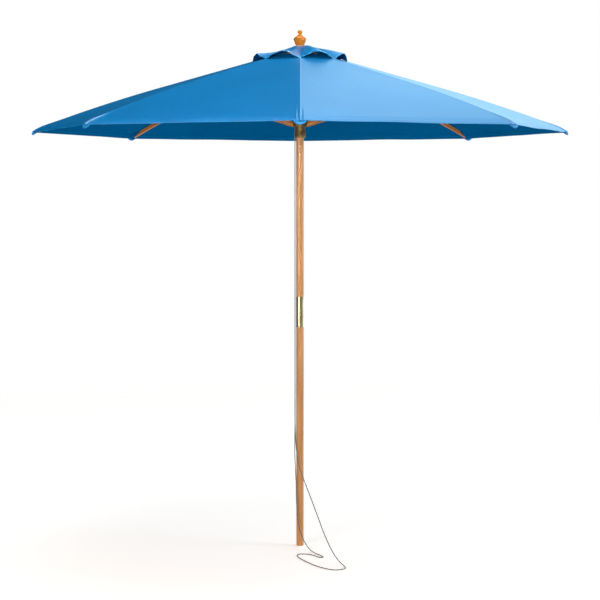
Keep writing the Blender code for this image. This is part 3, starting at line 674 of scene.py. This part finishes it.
def make_tip_pocket(number, finishes):
    """The sewn pouch at a corner of the canopy that holds the rib's end."""
    turn = rib_turn(number)
    stations = 16
    around_count = 40
    vertices, coordinates = [], []
    for i in range(stations + 1):
        share = i / stations
        rib_r = POCKET_START_R + (POCKET_END_R - POCKET_START_R) * math.sin(math.pi / 2 * share)
        closing = math.sqrt(max(0.0, 1 - smooth_step(share, 0.45, 1.0) ** 2))
        half_width = POCKET_NECK_HALF_WIDTH + POCKET_WIDENING * smooth_step(share, 0.0, 0.7)
        half_width *= POCKET_NOSE_WIDTH_SHARE + (1 - POCKET_NOSE_WIDTH_SHARE) * closing
        half_width = max(POCKET_LEAST_HALF_WIDTH, half_width)
        top_z = ridge_z(min(rib_r, CANOPY_TIP_R)) - POCKET_BELOW_RIDGE
        top_z -= POCKET_NOSE_DROP * smooth_step(share, 0.4, 1.0)
        deep = POCKET_DEPTH + POCKET_DEEPENING * smooth_step(share, 0.3, 0.75)
        deep *= POCKET_NOSE_DEPTH_SHARE + (1 - POCKET_NOSE_DEPTH_SHARE) * closing
        bottom_z = top_z - max(POCKET_LEAST_DEPTH, deep)
        for k in range(around_count):
            a = 2 * math.pi * k / around_count
            c, s = math.cos(a), math.sin(a)
            wide = math.copysign(abs(c) ** 0.9, c)
            across = half_width * wide * (1.0 if s > 0 else 1 - POCKET_UNDERSIDE_TAPER * abs(s))
            slope = RIDGE_SLOPE * math.tan(HALF_SECTOR) * abs(across)
            wave = math.cos(across * 2 * math.pi / POCKET_WRINKLE_PITCH)
            wrinkle = POCKET_WRINKLE * wave * smooth_step(share, 0.1, 0.5)
            if s >= 0:
                z = top_z - slope - (1 - s) * POCKET_EDGE_DROP + wrinkle * s
            else:
                below_edge = (bottom_z - top_z + POCKET_EDGE_DROP) * abs(s) ** 0.8
                z = top_z - slope - POCKET_EDGE_DROP + below_edge - wrinkle * s * 0.6
            vertices.append(tuple(turn @ Vector((rib_r, across, z))))
            coordinates.append((across, 0.06 * share + 0.02))
    faces, kinds = [], []
    for i in range(stations):
        for k in range(around_count):
            a, b = i * around_count + k, i * around_count + (k + 1) % around_count
            faces.append((a, a + around_count, b + around_count, b))
            # The lower side of the pouch's neck takes the second finish, the inside cloth with its painted
            # shade
            kinds.append(1 if i < 0.6 * stations and k >= around_count / 2 else 0)
    last = stations * around_count
    faces.append(tuple(range(around_count)))
    faces.append(tuple(range(last + around_count - 1, last - 1, -1)))
    kinds += [1, 0]
    piece = finish_mesh(f"tip_pocket_{number}", vertices, faces, kinds, coordinates, finishes, 60)
    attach(piece, f"rib_arm_{number}")
    return piece


def cap_rows(number, sides, start, end, count):
    """Rows of the vent cap's cloth between two radii, over one or both sides of a rib."""
    steps = 16
    places = sorted({side * j / steps for side in sides for j in range(steps + 1)})
    rows, coordinates = [], []
    for radius in spread_rows(count, start, end):
        rows.append([cap_point(radius, abs(p), -1 if p < 0 else 1, number) for p in places])
        coordinates.append([(radius * math.sin(p * HALF_SECTOR), CAP_HEM_R - radius) for p in places])
    return rows, coordinates


def make_cap_crown(number, finishes):
    """The top of the vent cap over one rib, which bends from the hub to the rib."""
    rows, coordinates = cap_rows(number, (-1, 1), CAP_HOLE_R, CAP_CROWN_R, 12)
    thickness = [CLOTH_THICKNESS] * len(rows)
    piece = thin_sheet(f"cap_crown_{number}", rows, coordinates, thickness, finishes)
    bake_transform(piece)
    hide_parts("vent_cap")


def make_cap_half(number, side_name, finishes):
    """One side of the vent cap's skirt over a rib, with its hem."""
    side = SIDES[side_name]
    rows, coordinates = cap_rows(number, (side,), CAP_CROWN_R, CAP_HEM_R, 24)
    thickness = []
    for row in coordinates:
        in_hem = 1 - smooth_step(row[0][1], CAP_HEM_WIDTH - CAP_HEM_EDGE, CAP_HEM_WIDTH + CAP_HEM_EDGE)
        thickness.append(CLOTH_THICKNESS + CAP_HEM_RISE * in_hem)
    piece = thin_sheet(f"cap_skirt_{number}_{side_name}", rows, coordinates, thickness, finishes)
    fold(piece, number, side, 0.0)
    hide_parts("vent_cap")


# ---------------------------------------------------------------- pull cord

def cord_route():
    """Route of the pull cord: over the sheave, down the pole, one loose loop on the ground and back up."""
    turn, top = SHEAVE_TURN_R, SHEAVE_Z
    wheel = [(math.sin(a), math.cos(a)) for a in (math.radians(20 * i) for i in range(1, 5))]
    over_front = [(CORD_X, -turn * s, top + turn * c) for s, c in wheel]
    over_back = [(CORD_X, turn * s, top + turn * c) for s, c in reversed(wheel)]
    ground = CORD_FLOOR_Z
    return [
        (CORD_X, -CORD_END_Y, top + turn),
        *over_front,
        (CORD_X, -turn, top - CORD_LEAD),
        (CORD_X, -turn, 1.60),
        (CORD_X, -turn, 0.85),
        (-0.0245, -0.014, 0.62),
        (-0.0175, -0.024, 0.49),
        (-0.0055, -0.045, 0.420),
        (0.020, -0.080, 0.350),
        (0.052, -0.130, 0.2735),
        (0.087, -0.200, 0.192),
        (0.121, -0.280, 0.115),
        (0.158, -0.360, 0.051),
        (0.192, -0.420, 0.015),
        (0.215, -0.462, ground),
        (0.211, -0.500, ground),
        (0.165, -0.520, ground),
        (0.098, -0.469, ground),
        (0.026, -0.348, ground),
        (-0.012, -0.245, ground),
        (-0.006, -0.205, ground),
        (0.034, -0.202, ground),
        (0.074, -0.236, ground),
        (0.098, -0.272, ground),
        (0.113, -0.268, ground),
        (0.107, -0.240, ground),
        (0.078, -0.190, ground),
        (0.045, -0.125, 0.012),
        (0.013, -0.070, 0.055),
        (-0.0055, -0.044, 0.1127),
        (-0.0160, -0.030, 0.198),
        (-0.0200, -0.021, 0.324),
        (-0.0262, -0.004, 0.47),
        (CORD_X, turn, 0.66),
        (CORD_X, turn, 0.85),
        (CORD_X, turn, 1.60),
        (CORD_X, turn, top - CORD_LEAD),
        *over_back,
        (CORD_X, CORD_END_Y, top + turn),
    ]


def make_cord(finish):
    """The pull cord as one braided tube along its route."""
    points = smooth_points(cord_route(), 12)
    for point in points:
        point.z = max(point.z, CORD_FLOOR_Z)
    points, length = even_points(points, CORD_SPACING)
    vertices, coordinates = [], []
    normal = Vector((-1, 0, 0))
    for i, point in enumerate(points):
        forward = (points[min(i + 1, len(points) - 1)] - points[max(i - 1, 0)]).normalized()
        normal = (normal - normal.dot(forward) * forward).normalized()
        other = forward.cross(normal)
        for k in range(CORD_SIDES):
            a = 2 * math.pi * k / CORD_SIDES
            vertices.append(tuple(point + CORD_R * (math.cos(a) * normal + math.sin(a) * other)))
            around = min(k, CORD_SIDES - k) / CORD_SIDES * 2 * math.pi * CORD_R
            coordinates.append((around, i * CORD_SPACING))
    faces = []
    for i in range(len(points) - 1):
        for k in range(CORD_SIDES):
            a, b = i * CORD_SIDES + k, i * CORD_SIDES + (k + 1) % CORD_SIDES
            faces.append((a, b, b + CORD_SIDES, a + CORD_SIDES))
    last = (len(points) - 1) * CORD_SIDES
    faces.append(tuple(range(CORD_SIDES - 1, -1, -1)))
    faces.append(tuple(range(last, last + CORD_SIDES)))
    cord = finish_mesh("braided_pull_cord", vertices, faces, [0] * len(faces), coordinates, [finish], 60)
    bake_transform(cord)
    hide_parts("pull_cord")


# ---------------------------------------------------------------- finishes of the CAD parts

def refinish(name, finish):
    """Give a CAD node a new material in its slots."""
    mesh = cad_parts[name].data
    if not mesh.materials:
        mesh.materials.append(finish)
    for index in range(len(mesh.materials)):
        mesh.materials[index] = finish


def refinish_frame():
    """Finishes of every CAD node that stays in view."""
    pole_tones = [colour(0.36, 0.155, 0.050), colour(0.60, 0.285, 0.105), colour(0.74, 0.40, 0.175)]
    rib_tones = [colour(0.30, 0.095, 0.014), colour(0.54, 0.20, 0.036), colour(0.68, 0.29, 0.062)]
    finial_tones = [colour(0.44, 0.12, 0.001), colour(0.61, 0.20, 0.002), colour(0.68, 0.26, 0.004)]
    pole = timber("pole_hardwood", (0, 0, 1), pole_tones, 0.34, 0.25, 0.25)
    hub = timber("hub_hardwood", (0, 0, 1), rib_tones, 0.40)
    finial = timber("varnished_finial", (0, 0, 1), finial_tones, 0.25, 0.10, 0.08)
    brass_tone, brass_dark = colour(0.83, 0.66, 0.38), colour(0.66, 0.48, 0.24)
    bronze_tone, bronze_dark = colour(0.22, 0.15, 0.055), colour(0.075, 0.05, 0.018)
    steel_tone, steel_dark = colour(0.62, 0.61, 0.58), colour(0.40, 0.39, 0.37)
    brass = metal("polished_brass", brass_tone, brass_dark, 0.10, 0.26, streak=(1, 1, 14), grain=120.0)
    bronze = metal(
        "bronze_casting",
        bronze_tone,
        bronze_dark,
        0.30,
        0.55,
        grain=420.0,
        metallic=0.85,
        depth=0.0002,
    )
    steel = metal("zinc_steel", steel_tone, steel_dark, 0.28, 0.48)
    for name in ("lower_pole", "upper_pole"):
        refinish(name, pole)
    refinish("hub", hub)
    refinish("finial", finial)
    refinish("ferrule", brass)
    refinish("runner", bronze)
    refinish("sheave", nylon())
    for name in ("hub_wire", "sheave_axle", "pulley_bracket"):
        refinish(name, steel)
    for number in range(1, RIB_COUNT + 1):
        turn = rib_turn(number)
        rib_way = turn @ Vector((1, 0, -RIDGE_SLOPE))
        low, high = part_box(f"strut_{number}")
        reach = max(abs(low.x), abs(low.y), abs(high.x), abs(high.y))
        strut_way = turn @ Vector((reach, 0, high.z - low.z))
        refinish(f"rib_{number}", timber(f"rib_hardwood_{number}", rib_way, rib_tones, 0.50))
        refinish(f"strut_{number}", timber(f"strut_hardwood_{number}", strut_way, rib_tones, 0.50))
        for name in (f"rib_bracket_{number}", f"rib_pin_{number}", f"strut_pin_{number}"):
            refinish(name, steel)


# ---------------------------------------------------------------- stage

def make_camera():
    """The view from far in front, a little below the canopy, tilted slightly down."""
    data = bpy.data.cameras.new("camera")
    data.sensor_width = 36.0
    data.lens = CAMERA_LENS
    data.clip_end = 200.0
    camera = bpy.data.objects.new("camera", data)
    camera.location = CAMERA_PLACE
    camera.rotation_euler = (math.radians(90 - CAMERA_TILT), 0.0, 0.0)
    bpy.context.scene.collection.objects.link(camera)
    bpy.context.scene.camera = camera


def make_light(name, place, target, size, power, spread=180):
    """A soft rectangular light that faces a point; its spread is in degrees."""
    data = bpy.data.lights.new(name, "AREA")
    data.shape = "RECTANGLE"
    data.size, data.size_y = size
    data.energy = power
    data.spread = math.radians(spread)
    light = bpy.data.objects.new(name, data)
    light.location = place
    light.rotation_euler = (Vector(target) - Vector(place)).to_track_quat("-Z", "Y").to_euler()
    bpy.context.scene.collection.objects.link(light)


def make_world():
    """A surround that looks white, but as a light is bright behind on the right and dim on the left."""
    world = bpy.data.worlds.new("studio")
    world.use_nodes = True
    tree = world.node_tree
    background = tree.nodes["Background"]
    seen = node(tree, "LightPath").outputs["Is Camera Ray"]
    heading = node(tree, "SeparateXYZ", {0: node(tree, "TexCoord").outputs["Generated"]})
    rightward = {"Value": heading.outputs[0], "From Min": 0.0, "From Max": 0.07}
    backward = {"Value": heading.outputs[1], "From Min": -0.1, "From Max": 0.2}
    right = node(tree, "MapRange", rightward).outputs[0]
    behind = node(tree, "MapRange", backward).outputs[0]
    back = mix_colour(tree, right, BACK_LEFT_GLOW, BACK_RIGHT_GLOW)
    around = mix_colour(tree, behind, FRONT_GLOW, back)
    tree.links.new(mix_colour(tree, seen, around, colour(1.0, 1.0, 1.0)), background.inputs["Color"])
    bpy.context.scene.world = world


def make_floor():
    """A pale round floor that fades into the surround at its edge."""
    radius, rings, sides = 9.0, 12, 96
    vertices = [(0.0, 0.0, 0.0)]
    for i in range(1, rings + 1):
        for k in range(sides):
            a = 2 * math.pi * k / sides
            vertices.append((radius * i / rings * math.cos(a), radius * i / rings * math.sin(a), 0.0))
    faces = [(0, 1 + k, 1 + (k + 1) % sides) for k in range(sides)]
    for i in range(rings - 1):
        for k in range(sides):
            a, b = 1 + i * sides + k, 1 + i * sides + (k + 1) % sides
            faces.append((a, a + sides, b + sides, b))
    mesh = bpy.data.meshes.new("floor")
    mesh.from_pydata(vertices, [], faces)
    finish, tree, shader = new_finish("pale_floor", Base_Color=colour(0.86, 0.86, 0.86), Roughness=0.9)
    shader.inputs["Emission Color"].default_value = FLOOR_GLOW
    shader.inputs["Emission Strength"].default_value = FLOOR_GLOW_STRENGTH
    distance = node(tree, "VectorMath", {0: object_place(tree)}, operation="LENGTH").outputs["Value"]
    fade = {"Value": distance, "From Min": FLOOR_FADE_START_R, "From Max": FLOOR_FADE_END_R}
    clear = node(tree, "MapRange", fade).outputs["Result"]
    through = node(tree, "BsdfTransparent").outputs[0]
    mixed = node(tree, "MixShader", {0: clear, 1: shader.outputs[0], 2: through}).outputs[0]
    tree.links.new(mixed, tree.nodes["Material Output"].inputs["Surface"])
    mesh.materials.append(finish)
    floor = bpy.data.objects.new("floor", mesh)
    bpy.context.scene.collection.objects.link(floor)


def make_stage():
    """Surround, floor and soft studio lights: a tall key low on the right, a fill on the left in front."""
    bpy.context.scene.view_settings.view_transform = "Standard"
    make_world()
    make_floor()
    make_light("key_right", (6.6, -1.0, 3.3), (0, 0, 2.1), (2.4, 3.0), 190)
    make_light("fill_left", (-3.2, -5.6, 2.2), (0, 0, 1.6), (2.0, 3.2), 160)
    make_light("front_beam", (-0.6, -7.2, 2.3), (0, 0, 2.45), (1.2, 1.2), 6.5, 22)
    make_light("overhead", (0.0, -0.6, 6.6), (0, 0, 2.3), (3.6, 3.6), 140)


# ---------------------------------------------------------------- assembly

def main():
    make_camera()
    make_cord(braid())
    upper = cloth("canopy_polyester", colour(0.0012, 0.185, 0.46), colour(0.0020, 0.215, 0.53), 0.7)
    # Painted shade: the inside of the cloth is given a darker blue than the top, though it is the same
    # cloth; this inside finish also goes under the cap, the seams and the pockets
    underside_shade_dark, underside_shade_light = colour(0.0003, 0.074, 0.198), colour(0.0004, 0.087, 0.232)
    under = cloth("canopy_polyester_inside_painted_shade", underside_shade_dark, underside_shade_light, 0.0)
    cap_cloth = cloth("cap_polyester", colour(0.0015, 0.185, 0.46), colour(0.0025, 0.215, 0.53), 0.7, False)
    pocket_dark, pocket_light = colour(0.002, 0.19, 0.47), colour(0.004, 0.225, 0.55)
    pocket_cloth = cloth("pocket_polyester", pocket_dark, pocket_light, 0.4, seams=False, rough=0.50)
    # Painted highlight: the rim of the cap's cloth, along its hem, is given a lighter blue than the same
    # cloth
    cap_edge_highlight_cloth = cloth("edge_polyester_painted_highlight", colour(0.02, 0.34, 0.70), colour(0.05, 0.42, 0.80), 0.7, False)
    for number in range(1, RIB_COUNT + 1):
        for side_name in SIDES:
            make_canopy_half(number, side_name, [upper, under])
            make_cap_half(number, side_name, [cap_cloth, under, cap_edge_highlight_cloth])
        seam = make_seam(number, [cap_cloth, under])
        pocket = make_tip_pocket(number, [pocket_cloth, under])
        make_canopy_band(number, [upper, under])
        make_cap_crown(number, [cap_cloth, under])
    refinish_frame()
    make_stage()


main()
